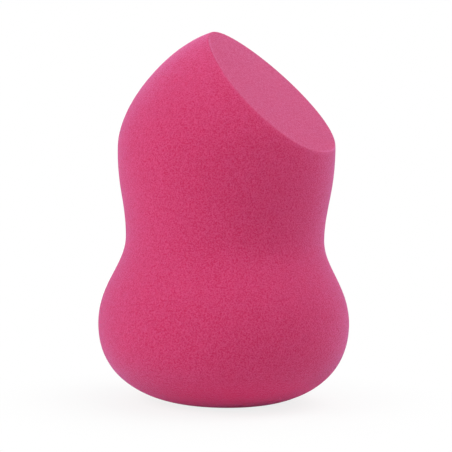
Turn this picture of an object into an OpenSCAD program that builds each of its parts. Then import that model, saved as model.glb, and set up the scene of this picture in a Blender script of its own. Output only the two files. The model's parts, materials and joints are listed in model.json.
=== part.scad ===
// Gourd-shaped makeup sponge: one block of fine open-cell foam, ground round to its outline and
// sliced once across its top. Lengths are in millimetres. The sponge stands on the flat foot at its
// base, Z runs up its axis from the middle of that foot, and the cut face looks up and towards +X.

/* [Base lobe] */
// Diameter of the flat foot that the sponge stands on
foot_d = 12; // [6:0.5:20]
// Diameter of the base lobe at its widest ring
base_d = 40; // [34:0.5:48]
// Rise from the foot to the base lobe's widest ring
base_rise = 12.5; // [9:0.1:18]

/* [Waist] */
// Diameter of the waist at its narrowest ring
waist_d = 31.6; // [24:0.2:34]
// Rise from the base lobe's widest ring to the waist
waist_rise = 13.7; // [9:0.1:20]

/* [Crown lobe] */
// Diameter of the crown lobe at its widest ring
crown_d = 34.6; // [28:0.2:42]
// Rise from the waist to the crown lobe's widest ring
crown_rise = 14.2; // [9:0.1:20]
// Rise from the crown lobe's widest ring to the rounded tip that the cut takes off
tip_rise = 18.8; // [14:0.1:26]

/* [Slanted cut] */
// Tilt of the cut face from level, in degrees
cut_tilt = 44.4; // [30:0.1:60]
// Depth of the cut below the rounded tip, along the axis
cut_drop = 2.4; // [0.6:0.1:8]

/* [Fullness of the outline] */
// Reach of the curve outwards from the foot's edge, as a share of the step out to the base lobe
foot_out_share = 0.29; // [0.1:0.01:0.9]
// Reach of the curve down from the base lobe's ring, as a share of the rise from the foot
base_down_share = 0.8; // [0.3:0.01:0.95]
// Reach of the curve up from the base lobe's ring, as a share of the rise to the waist
base_up_share = 0.46; // [0.1:0.01:0.9]
// Reach of the curve down from the waist, as a share of the rise from the base lobe's ring
waist_down_share = 0.33; // [0.1:0.01:0.9]
// Reach of the curve up from the waist, as a share of the rise to the crown lobe's ring
waist_up_share = 0.355; // [0.1:0.005:0.9]
// Reach of the curve down from the crown lobe's ring, as a share of the rise from the waist
crown_down_share = 0.48; // [0.1:0.01:0.9]
// Reach of the curve up from the crown lobe's ring, as a share of the rise to the tip
crown_up_share = 0.405; // [0.1:0.005:0.9]
// Reach of the curve outwards from the tip, as a share of the crown lobe's radius
tip_out_share = 0.415; // [0.1:0.005:0.9]

/* [Smoothness] */
// Steps in each of the four curved stretches of the outline
curve_steps = 16; // [8:1:32]
// Sides of the round form where it is drawn as a mesh
round_steps = 144; // [48:12:240]

/* [Hidden] */
foot_r = foot_d / 2;
base_r = base_d / 2;
waist_r = waist_d / 2;
crown_r = crown_d / 2;
// Heights of the three rings and of the uncut tip above the foot
waist_h = base_rise + waist_rise;
crown_h = waist_h + crown_rise;
tip_h = crown_h + tip_rise;
// Height at which the cut face crosses the axis
cut_h = tip_h - cut_drop;
// The block that is sliced off reaches past the whole form from any point of it
slice_reach = tip_h + base_d;

// Points of one smooth stretch from a to d, drawn towards the handles b and c; a itself is left out
function stretch(a, b, c, d) = [
    for (i = [1 : curve_steps])
        let (t = i / curve_steps, u = 1 - t)
            u * u * u * a + 3 * u * u * t * b + 3 * u * t * t * c + t * t * t * d
];

// Half of the sponge's outline, from the middle of its foot to its uncut tip. The curve stands
// upright at each of the three rings, and lies level at the foot's edge and at the tip.
function outline() = concat(
    [[0, 0], [foot_r, 0]],
    stretch(
        [foot_r, 0],
        [foot_r + foot_out_share * (base_r - foot_r), 0],
        [base_r, base_rise * (1 - base_down_share)],
        [base_r, base_rise]
    ),
    stretch(
        [base_r, base_rise],
        [base_r, base_rise + base_up_share * waist_rise],
        [waist_r, waist_h - waist_down_share * waist_rise],
        [waist_r, waist_h]
    ),
    stretch(
        [waist_r, waist_h],
        [waist_r, waist_h + waist_up_share * crown_rise],
        [crown_r, crown_h - crown_down_share * crown_rise],
        [crown_r, crown_h]
    ),
    stretch(
        [crown_r, crown_h],
        [crown_r, crown_h + crown_up_share * tip_rise],
        [tip_out_share * crown_r, tip_h],
        [0, tip_h]
    )
);

// The round form that the grinding leaves, with its tip still on
module ground_form() {
    rotate_extrude($fn = round_steps) polygon(outline());
}

// Everything above the cut face
module slice() {
    translate([0, 0, cut_h])
        rotate([0, cut_tilt, 0])
            translate([-slice_reach, -slice_reach, 0])
                cube([2 * slice_reach, 2 * slice_reach, slice_reach]);
}

// The sponge: the ground form less the slice, one piece of foam all through
module foam_body() {
    color([0.80, 0.25, 0.42])
        difference() {
            ground_form();
            slice();
        }
}

foam_body();
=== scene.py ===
import json
import math

import bpy
from mathutils import Matrix, Vector
from mathutils.kdtree import KDTree

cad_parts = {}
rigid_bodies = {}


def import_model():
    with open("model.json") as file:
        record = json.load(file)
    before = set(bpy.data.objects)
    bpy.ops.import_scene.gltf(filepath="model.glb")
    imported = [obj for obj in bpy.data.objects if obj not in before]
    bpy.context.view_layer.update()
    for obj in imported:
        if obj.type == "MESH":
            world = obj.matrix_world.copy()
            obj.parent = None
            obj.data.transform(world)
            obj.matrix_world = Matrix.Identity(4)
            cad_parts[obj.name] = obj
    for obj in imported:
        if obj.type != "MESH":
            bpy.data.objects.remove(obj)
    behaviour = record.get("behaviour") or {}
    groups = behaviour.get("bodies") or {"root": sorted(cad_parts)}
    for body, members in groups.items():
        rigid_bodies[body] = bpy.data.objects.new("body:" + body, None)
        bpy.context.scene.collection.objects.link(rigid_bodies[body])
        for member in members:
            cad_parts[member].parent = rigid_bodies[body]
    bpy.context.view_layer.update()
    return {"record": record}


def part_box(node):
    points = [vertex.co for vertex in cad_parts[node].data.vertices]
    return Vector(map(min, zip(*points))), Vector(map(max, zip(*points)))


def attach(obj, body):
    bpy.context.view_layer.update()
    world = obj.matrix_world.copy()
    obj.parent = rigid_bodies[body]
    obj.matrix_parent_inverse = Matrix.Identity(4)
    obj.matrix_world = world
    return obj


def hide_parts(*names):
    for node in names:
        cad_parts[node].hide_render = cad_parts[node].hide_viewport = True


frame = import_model()

# The view
# The sponge is seen almost level from a short way off, turned so that its slanted cut face
# shows as a narrow leaf at the upper right. It stands a hair off plumb in the picture.
MM = 0.001
PICTURE_PX = 452
PX_PER_MM = 6.271
CAMERA_DISTANCE = 250 * MM
CAMERA_TURN = math.radians(28.13)
CAMERA_RISE = math.radians(2.88)
CAMERA_ROLL = math.radians(0.94)
AIM_HEIGHT = 28.04 * MM
AIM_SIDE = 0.11 * MM
SENSOR_WIDTH_MM = 36
NEAREST_SEEN = 10 * MM


def away(turn, rise):
    """The direction out from the sponge at a turn about its axis, 0 towards -Y, and a rise."""
    return Vector((
        math.sin(turn) * math.cos(rise), -math.cos(turn) * math.cos(rise), math.sin(rise)
    ))


look = -away(CAMERA_TURN, CAMERA_RISE)
level_right = Vector((math.cos(CAMERA_TURN), math.sin(CAMERA_TURN), 0))
level_up = level_right.cross(look)
camera_right = level_right * math.cos(CAMERA_ROLL) + level_up * math.sin(CAMERA_ROLL)
camera_up = level_up * math.cos(CAMERA_ROLL) - level_right * math.sin(CAMERA_ROLL)
aim = level_right * AIM_SIDE + Vector((0, 0, AIM_HEIGHT))

bpy.ops.object.select_all(action="DESELECT")
bpy.ops.object.camera_add()
camera = bpy.context.object
camera.name = "camera"
camera.data.sensor_width = SENSOR_WIDTH_MM
camera.data.lens = SENSOR_WIDTH_MM * PX_PER_MM * (CAMERA_DISTANCE / MM) / PICTURE_PX
camera.data.clip_start = NEAREST_SEEN
turned = Matrix((camera_right, camera_up, -look)).transposed().to_4x4()
camera.matrix_world = Matrix.Translation(aim - look * CAMERA_DISTANCE) @ turned
bpy.context.scene.camera = camera

# The foam body
# One block of fine open-cell polyurethane foam, dyed through. It is ground round to a gourd
# outline, which leaves a short velvety nap, and one straight slice takes off its tip.
FOOT_R = 6.0 * MM
WAIST_R = 15.8 * MM
CROWN_R = 17.3 * MM
BASE_H = 12.5 * MM
WAIST_H = 26.2 * MM
CROWN_H = 40.4 * MM
UNCUT_TIP_H = 59.2 * MM
base_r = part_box("foam_body")[1].x
waist_rise = WAIST_H - BASE_H
crown_rise = CROWN_H - WAIST_H
tip_rise = UNCUT_TIP_H - CROWN_H

# How far the outline's handles reach, as shares of the step to the next ring. Along the flat foot
# they reach a third of the way, which keeps it straight.
FOOT_OUT_SHARE = 0.29
BASE_DOWN_SHARE = 0.8
BASE_UP_SHARE = 0.46
WAIST_DOWN_SHARE = 0.33
WAIST_UP_SHARE = 0.355
CROWN_DOWN_SHARE = 0.48
CROWN_UP_SHARE = 0.405
TIP_OUT_SHARE = 0.415


def knot(radius, height, back, ahead):
    """A corner of the outline and its two handles, each a step outwards and a step up."""
    return (
        Vector((radius, 0, height)),
        Vector((radius + back[0], 0, height + back[1])),
        Vector((radius + ahead[0], 0, height + ahead[1])),
    )


foot_third = FOOT_R / 3
outline_knots = [
    knot(0, 0, (0, 0), (foot_third, 0)),
    knot(FOOT_R, 0, (-foot_third, 0), (FOOT_OUT_SHARE * (base_r - FOOT_R), 0)),
    knot(base_r, BASE_H, (0, -BASE_DOWN_SHARE * BASE_H), (0, BASE_UP_SHARE * waist_rise)),
    knot(WAIST_R, WAIST_H, (0, -WAIST_DOWN_SHARE * waist_rise), (0, WAIST_UP_SHARE * crown_rise)),
    knot(CROWN_R, CROWN_H, (0, -CROWN_DOWN_SHARE * crown_rise), (0, CROWN_UP_SHARE * tip_rise)),
    knot(0, UNCUT_TIP_H, (TIP_OUT_SHARE * CROWN_R, 0), (0, 0)),
]

OUTLINE_STEPS = 48
bpy.ops.object.select_all(action="DESELECT")
bpy.ops.curve.primitive_bezier_curve_add(location=(0, 0, 0))
sponge = bpy.context.object
sponge.name = "sponge"
outline = sponge.data.splines[0]
outline.bezier_points.add(len(outline_knots) - len(outline.bezier_points))
for point, (corner, back, ahead) in zip(outline.bezier_points, outline_knots):
    point.handle_left_type = point.handle_right_type = "FREE"
    point.co, point.handle_left, point.handle_right = corner, back, ahead
outline.resolution_u = OUTLINE_STEPS
bpy.ops.object.convert(target="MESH")

ROUND_STEPS = 360
SAME_POINT = 0.001 * MM
ground_round = sponge.modifiers.new("ground_round", "SCREW")
ground_round.steps = ground_round.render_steps = ROUND_STEPS
ground_round.use_merge_vertices = True
ground_round.merge_threshold = SAME_POINT
bpy.ops.object.modifier_apply(modifier=ground_round.name)

# The slice runs along the mount on the cut face, and leaves a closed flat face behind.
ON_BLADE = 0.0001 * MM
mounts = {mount["name"]: mount for mount in frame["record"]["mounts"]}
cut_point = Vector(mounts["cut_face"]["pos_m"])
cut_normal = Vector(mounts["cut_face"]["axis"]).normalized()
bpy.ops.object.mode_set(mode="EDIT")
bpy.ops.mesh.select_all(action="SELECT")
bpy.ops.mesh.remove_doubles(threshold=SAME_POINT)
bpy.ops.mesh.bisect(
    plane_co=cut_point, plane_no=cut_normal, use_fill=True, clear_outer=True, threshold=ON_BLADE
)
bpy.ops.mesh.select_all(action="SELECT")
bpy.ops.mesh.normals_make_consistent(inside=False)
bpy.ops.object.mode_set(mode="OBJECT")

# The grid has 2 ** 8 cells a side and the sponge's height fills this share of it, which makes faces
# of 0.32 mm.
GRID_DEPTH = 8
GRID_SHARE = 0.71
even_mesh = sponge.modifiers.new("even_mesh", "REMESH")
even_mesh.mode = "SHARP"
even_mesh.octree_depth = GRID_DEPTH
even_mesh.scale = GRID_SHARE
even_mesh.use_smooth_shade = True
bpy.ops.object.modifier_apply(modifier=even_mesh.name)

# The edges on the rim and next to it are cut in half, and those on it stay selected.
RIM_ANGLE = math.radians(30)
bpy.ops.object.mode_set(mode="EDIT")
bpy.ops.mesh.select_mode(type="EDGE")
bpy.ops.mesh.select_all(action="DESELECT")
bpy.ops.mesh.edges_select_sharp(sharpness=RIM_ANGLE)
bpy.ops.mesh.select_more()
bpy.ops.mesh.subdivide(number_cuts=1)
bpy.ops.mesh.select_all(action="DESELECT")
bpy.ops.mesh.edges_select_sharp(sharpness=RIM_ANGLE)
bpy.ops.object.mode_set(mode="OBJECT")

# The blade goes in high up on the near side, where the rim stands up a little, and leaves at the
# low end of the cut, where it drags the rim up into a short lip. A painted highlight lies pale on the
# rim there, at the entry one reach inside it, and more thinly along the near side. Each range holds
# the turns at which a trait starts, is full, wanes and ends, in degrees from the low end of the
# cut and negative on the near side.
LIP_TURNS = (-14, 3, 8, 25)
LIP_RISE = 0.31 * MM
LIP_HIGHLIGHT_TURNS = (-20, 14, 20, 40)
LIP_HIGHLIGHT = 0.75
LIP_HIGHLIGHT_REACH = 0.24 * MM
ENTRY_TURNS = (-120, -88, -88, -60)
ENTRY_RISE = 0.10 * MM
ENTRY_HIGHLIGHT = 0.35
NEAR_HIGHLIGHT_TURNS = (-80, -60, -16, 14)
NEAR_HIGHLIGHT = 0.22
FACE_HIGHLIGHT_REACH = 0.32 * MM
SIDE_HIGHLIGHT_REACH = 0.55 * MM
RISE_REACH = 1.0 * MM
FACE_DEPTH = 0.02 * MM
STEPS_PER_EDGE = 8
RIM_SOFTENING = 0.5


def smooth_step(value, low, high):
    """Runs smoothly from 0 to 1 as a value goes from low to high."""
    share = min(1.0, max(0.0, (value - low) / (high - low)))
    return share * share * (3 - 2 * share)


def within(turn, turns):
    """1 where a trait is full, falling smoothly to 0 where it starts and ends."""
    starts, full, wanes, ends = turns
    return smooth_step(turn, starts, full) * (1 - smooth_step(turn, wanes, ends))


def fade(share):
    """Falls evenly from 1 to 0 as the share of a reach grows from 0 to 1."""
    return max(0.0, 1 - share)


rim_edges = [edge.vertices for edge in sponge.data.edges if edge.select]
rim = KDTree(len(rim_edges) * STEPS_PER_EDGE)
for first, second in rim_edges:
    first_end, second_end = sponge.data.vertices[first].co, sponge.data.vertices[second].co
    for step in range(STEPS_PER_EDGE):
        rim.insert(first_end.lerp(second_end, step / STEPS_PER_EDGE), 0)
rim.balance()

for name in ("blade_depth", "painted_rim_highlight"):
    sponge.data.attributes.new(name, "FLOAT", "POINT")
blade_depth = sponge.data.attributes["blade_depth"].data
painted_rim_highlight = sponge.data.attributes["painted_rim_highlight"].data
for vertex in sponge.data.vertices:
    under_cut = (cut_point - vertex.co).dot(cut_normal)
    blade_depth[vertex.index].value = under_cut
    gap = rim.find(vertex.co)[2]
    turn = math.degrees(math.atan2(vertex.co.y, vertex.co.x))
    on_face = under_cut < FACE_DEPTH
    near_reach = FACE_HIGHLIGHT_REACH if on_face else SIDE_HIGHLIGHT_REACH
    lip_highlight = LIP_HIGHLIGHT * within(turn, LIP_HIGHLIGHT_TURNS) * fade(gap / LIP_HIGHLIGHT_REACH)
    entry_highlight = ENTRY_HIGHLIGHT * within(turn, ENTRY_TURNS) * fade(abs(gap / FACE_HIGHLIGHT_REACH - 1))
    near_highlight = NEAR_HIGHLIGHT * within(turn, NEAR_HIGHLIGHT_TURNS) * fade(gap / near_reach)
    painted_rim_highlight[vertex.index].value = max(max(lip_highlight, entry_highlight) * on_face, near_highlight)
    rise = max(LIP_RISE * within(turn, LIP_TURNS), ENTRY_RISE * within(turn, ENTRY_TURNS))
    vertex.co.z += rise * fade(gap / RISE_REACH) ** 2

bpy.ops.object.mode_set(mode="EDIT")
bpy.ops.mesh.select_more()
bpy.ops.mesh.vertices_smooth(factor=RIM_SOFTENING, repeat=1)
bpy.ops.object.mode_set(mode="OBJECT")

# The side wavers as hand-held grinding leaves it. The foot and the cut face stay flat.
FLAT_FOOT = 1.5 * MM
FLAT_RIM = 1.0 * MM
GRINDING_SIZE = 13 * MM
GRINDING_DEPTH = 0.16 * MM
FUZZ_SIZE = 0.7 * MM
FUZZ_DEPTH = 0.02 * MM
hand_ground = sponge.vertex_groups.new(name="hand_ground")
blade_depth = sponge.data.attributes["blade_depth"].data
holds = [
    min(1.0, vertex.co.z / FLAT_FOOT, under_cut.value / FLAT_RIM)
    for vertex, under_cut in zip(sponge.data.vertices, blade_depth)
]
for index, hold in enumerate(holds):
    hand_ground.add([index], max(0.0, hold), "REPLACE")


def wander(name, size, depth):
    """Lets the ground side stray in and out by a depth, in soft lumps of a size."""
    lumps = bpy.data.textures.new(name, "CLOUDS")
    lumps.noise_scale = size
    stray = sponge.modifiers.new(name, "DISPLACE")
    stray.texture = lumps
    stray.texture_coords = "LOCAL"
    stray.vertex_group = hand_ground.name
    stray.strength = depth
    bpy.ops.object.modifier_apply(modifier=stray.name)


wander("grinding", GRINDING_SIZE, GRINDING_DEPTH)
wander("foam_cells", FUZZ_SIZE, FUZZ_DEPTH)
bpy.ops.object.shade_smooth()


class Shade:
    """An output of a shader node. Sums and products of it add Math nodes; node() adds any other."""

    def __init__(self, tree, output=None):
        self.tree = tree
        self.output = output

    def node(self, kind, settings=None, values=None, output=None):
        """Adds a node: its settings come first, then a value or a link for each of its sockets."""
        made = self.tree.nodes.new(kind)
        for name, setting in (settings or {}).items():
            setattr(made, name, setting)
        for name, value in (values or {}).items():
            named = [
                socket for index, socket in enumerate(made.inputs)
                if socket.enabled and name in (index, socket.name)
            ]
            if isinstance(value, Shade):
                self.tree.links.new(value.output, named[0])
            else:
                named[0].default_value = value
        ends = [
            socket for socket in made.outputs
            if socket.enabled and output in (None, socket.name)
        ]
        return Shade(self.tree, ends[0] if ends else None)

    def maths(self, operation, *values, clamp=False):
        """Adds a Math node on numbers or other outputs."""
        settings = {"operation": operation, "use_clamp": clamp}
        return self.node("ShaderNodeMath", settings, dict(enumerate(values)))

    def __add__(self, other):
        return self.maths("ADD", self, other)

    def __radd__(self, other):
        return self.maths("ADD", other, self)

    def __sub__(self, other):
        return self.maths("SUBTRACT", self, other)

    def __rsub__(self, other):
        return self.maths("SUBTRACT", other, self)

    def __mul__(self, other):
        return self.maths("MULTIPLY", self, other)

    def __rmul__(self, other):
        return self.maths("MULTIPLY", other, self)


def finish_of(name):
    """A new material with an empty node tree, and the Shade that its nodes start from."""
    material = bpy.data.materials.new(name)
    material.use_nodes = True
    material.node_tree.nodes.clear()
    return material, Shade(material.node_tree)


def noise(place, size, detail):
    """Soft random lumps of a size, from 0 to 1."""
    return place.node(
        "ShaderNodeTexNoise", values={"Vector": place, "Scale": 1 / size, "Detail": detail}
    )


def ramp(value, low, high, start_at=0.0, end_at=1.0):
    """Runs smoothly from one number to another as a value goes from low to high."""
    return value.node(
        "ShaderNodeMapRange",
        {"interpolation_type": "SMOOTHSTEP"},
        {"Value": value, "From Min": low, "From Max": high, "To Min": start_at, "To Max": end_at},
    )


def mix(first, second, share):
    """Two patterns laid over each other, the first with a share and the second with the rest."""
    return first * share + second * (1 - share)


def blend(amount, first, second):
    """One colour turning into another."""
    return amount.node(
        "ShaderNodeMix",
        {"data_type": "RGBA"},
        {"Factor": amount, "A": first, "B": second},
        output="Result",
    )


# The dye is deep in the pits between the foam's struts and pale on the short torn nap that stands
# on them. The sliced face shows slightly coarser open cells, and its pinks are darker than the
# side's as painted shade. A deeper, redder pink towards the foot is painted shade under the base,
# and a paler pink along the rim is a painted highlight.
PIT_PINK = (0.556, 0.029, 0.112, 1)
NAP_PINK = (0.652, 0.079, 0.218, 1)
SHADED_SLICE_PIT_PINK = (0.528, 0.024, 0.098, 1)
SHADED_SLICE_NAP_PINK = (0.596, 0.072, 0.176, 1)
RIM_HIGHLIGHT_PINK = (0.690, 0.155, 0.330, 1)
UNDERSIDE_SHADE_PINK = (0.715, 0.002, 0.098, 1)
UNDERSIDE_SHADE_REACH = 6.5 * MM

# The slice's own finish ends between these depths under the cut.
SLICE_FULL = 0.04 * MM
SLICE_END = 0.07 * MM

# The grain is noise spread out between two levels, one for a bare pit and one for full nap.
PIT_LEVEL = 0.38
NAP_LEVEL = 0.62
NAP_SIZE = 0.24 * MM
FINE_SIZE = 0.17 * MM
OPEN_CELL_SIZE = 0.30 * MM
NAP_SHARE = 0.45
OPEN_CELL_SHARE = 0.7

# Pores lie scattered, this far apart. Each is deepest out to its floor and ends at its edge, both
# as shares of the spacing.
PORE_SPACING = 1.3 * MM
PORE_FLOOR = 0.06
PORE_EDGE = 0.16
PORE_STRENGTH = 0.12

BLOTCH_SIZE = 7.0 * MM
BLOTCH_STRENGTH = 0.15
NOISE_MIDDLE = 0.5
GRAIN_DEPTH = 0.05 * MM
SLICE_FLATNESS = 0.5

foam, start = finish_of("pink_foam")
place = start.node("ShaderNodeTexCoord", output="Object")
cut_depth = start.node("ShaderNodeAttribute", {"attribute_name": "blade_depth"}, output="Fac")
# The second attribute holds the strength of the painted highlight along the rim.
highlight_share = start.node("ShaderNodeAttribute", {"attribute_name": "painted_rim_highlight"}, output="Fac")
sliced = ramp(cut_depth, SLICE_FULL, SLICE_END, start_at=1.0, end_at=0.0)

nap = ramp(noise(place, NAP_SIZE, detail=1), PIT_LEVEL, NAP_LEVEL)
fine = ramp(noise(place, FINE_SIZE, detail=0), PIT_LEVEL, NAP_LEVEL)
open_cells = ramp(noise(place, OPEN_CELL_SIZE, detail=1), PIT_LEVEL, NAP_LEVEL)
pore = start.node(
    "ShaderNodeTexVoronoi", values={"Vector": place, "Scale": 1 / PORE_SPACING}, output="Distance"
)
pitted = ramp(pore, PORE_FLOOR, PORE_EDGE, start_at=1.0, end_at=0.0)
blotch = (noise(place, BLOTCH_SIZE, detail=2) - NOISE_MIDDLE) * BLOTCH_STRENGTH
relief = mix(nap, fine, NAP_SHARE) - pitted * PORE_STRENGTH
side_shade = start.maths("ADD", relief, blotch, clamp=True)
slice_shade = start.maths("ADD", mix(open_cells, fine, OPEN_CELL_SHARE), blotch, clamp=True)

side_pink = blend(side_shade, PIT_PINK, NAP_PINK)
# The slice's pinks are darker than the side's: painted shade on the cut face.
shaded_slice_pink = blend(slice_shade, SHADED_SLICE_PIT_PINK, SHADED_SLICE_NAP_PINK)
height = start.node("ShaderNodeSeparateXYZ", values={"Vector": place}, output="Z")
# A deeper, redder pink towards the foot is painted shade under the base.
painted_underside_shade = ramp(height, 0.0, UNDERSIDE_SHADE_REACH, start_at=1.0, end_at=0.0)
bare_pink = blend(sliced, blend(painted_underside_shade, side_pink, UNDERSIDE_SHADE_PINK), shaded_slice_pink)
# A paler pink along the rim is a painted highlight.
pink = blend(highlight_share, bare_pink, RIM_HIGHLIGHT_PINK)
bump = start.node(
    "ShaderNodeBump",
    values={
        "Strength": 1.0,
        "Distance": GRAIN_DEPTH,
        "Height": relief * (1 - sliced * SLICE_FLATNESS),
    },
)
surface = start.node(
    "ShaderNodeBsdfPrincipled",
    values={
        "Base Color": pink,
        "Roughness": 0.95,
        "Specular IOR Level": 0.1,
        "Diffuse Roughness": 0.4,
        "Subsurface Weight": 0.6,
        "Subsurface Radius": (1.0, 0.35, 0.45),
        "Subsurface Scale": 1.0 * MM,
        "Sheen Weight": 0.44,
        "Sheen Roughness": 0.4,
        "Sheen Tint": (0.80, 0.50, 0.93, 1),
        "Normal": bump,
    },
)
start.node("ShaderNodeOutputMaterial", values={"Surface": surface})
sponge.data.materials.clear()
sponge.data.materials.append(foam)

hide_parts("foam_body")
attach(sponge, "root")

# The table and the light
# A pale table that the sponge stands on, white in the picture but for the sponge's soft shadow.
# Five large soft lamps light it: the main one at the upper left, and weaker ones in front, high
# up at the right, beside it at the right and behind.
TABLE_SIZE = 4.0
TABLE_PAINT = (0.8, 0.8, 0.8, 1)
WHITE = (1, 1, 1, 1)

# The table's own paint, with the shadow on it, shows by this share under the sponge and fades to
# plain white this far out.
SHADOW_SHARE = 0.2
SHADOW_REACH = 42 * MM


def directly_seen(start):
    """1 where a surface is seen, also in a mirror or through glass, and 0 where it only lights."""
    path = start.tree.nodes.new("ShaderNodeLightPath")
    seen = Shade(start.tree, path.outputs["Is Camera Ray"])
    mirrored = Shade(start.tree, path.outputs["Is Glossy Ray"])
    through = Shade(start.tree, path.outputs["Is Transmission Ray"])
    return start.maths("ADD", seen + mirrored, through, clamp=True)


bpy.ops.object.select_all(action="DESELECT")
bpy.ops.mesh.primitive_plane_add(size=TABLE_SIZE)
table = bpy.context.object
table.name = "table"
table_top, start = finish_of("pale_table")
place = start.node("ShaderNodeTexCoord", output="Object")
reach = start.node("ShaderNodeVectorMath", {"operation": "LENGTH"}, {0: place}, output="Value")
shaded = ramp(reach, 0.0, SHADOW_REACH, start_at=SHADOW_SHARE, end_at=0.0)
paint = start.node("ShaderNodeBsdfDiffuse", values={"Color": TABLE_PAINT})
white = start.node("ShaderNodeEmission", values={"Color": WHITE, "Strength": 1.0})
top_seen = start.node("ShaderNodeMixShader", values={0: shaded, 1: white, 2: paint})
top = start.node("ShaderNodeMixShader", values={0: directly_seen(start), 1: paint, 2: top_seen})
start.node("ShaderNodeOutputMaterial", values={"Surface": top})
table.data.materials.append(table_top)

# The studio is plain white where it is seen, and lights the sponge with only this share of that.
AMBIENT = 0.15
world = bpy.data.worlds.new("studio")
bpy.context.scene.world = world
world.use_nodes = True
world.node_tree.nodes.clear()
start = Shade(world.node_tree)
strength = AMBIENT + directly_seen(start) * (1.0 - AMBIENT)
sky = start.node("ShaderNodeBackground", values={"Color": WHITE, "Strength": strength})
start.node("ShaderNodeOutputWorld", values={"Surface": sky})

LAMP_DISTANCE = 0.7
LAMP_SIZE = 0.5


def lamp(name, turn, rise, power):
    """A square soft lamp aimed at the sponge, turned to the camera's right and raised, in degrees."""
    outwards = away(CAMERA_TURN + math.radians(turn), math.radians(rise))
    bpy.ops.object.select_all(action="DESELECT")
    bpy.ops.object.light_add(type="AREA", location=aim + outwards * LAMP_DISTANCE)
    light = bpy.context.object
    light.name = name
    light.data.size = LAMP_SIZE
    light.data.energy = power
    light.rotation_euler = outwards.to_track_quat("Z", "Y").to_euler()


lamp("main_lamp", turn=-60, rise=30, power=3.4)
lamp("front_lamp", turn=0, rise=8, power=1.2)
lamp("top_lamp", turn=60, rise=60, power=1.5)
lamp("side_lamp", turn=107, rise=50, power=2.25)
lamp("back_lamp", turn=180, rise=35, power=1.2)

bpy.context.scene.view_settings.view_transform = "Standard"
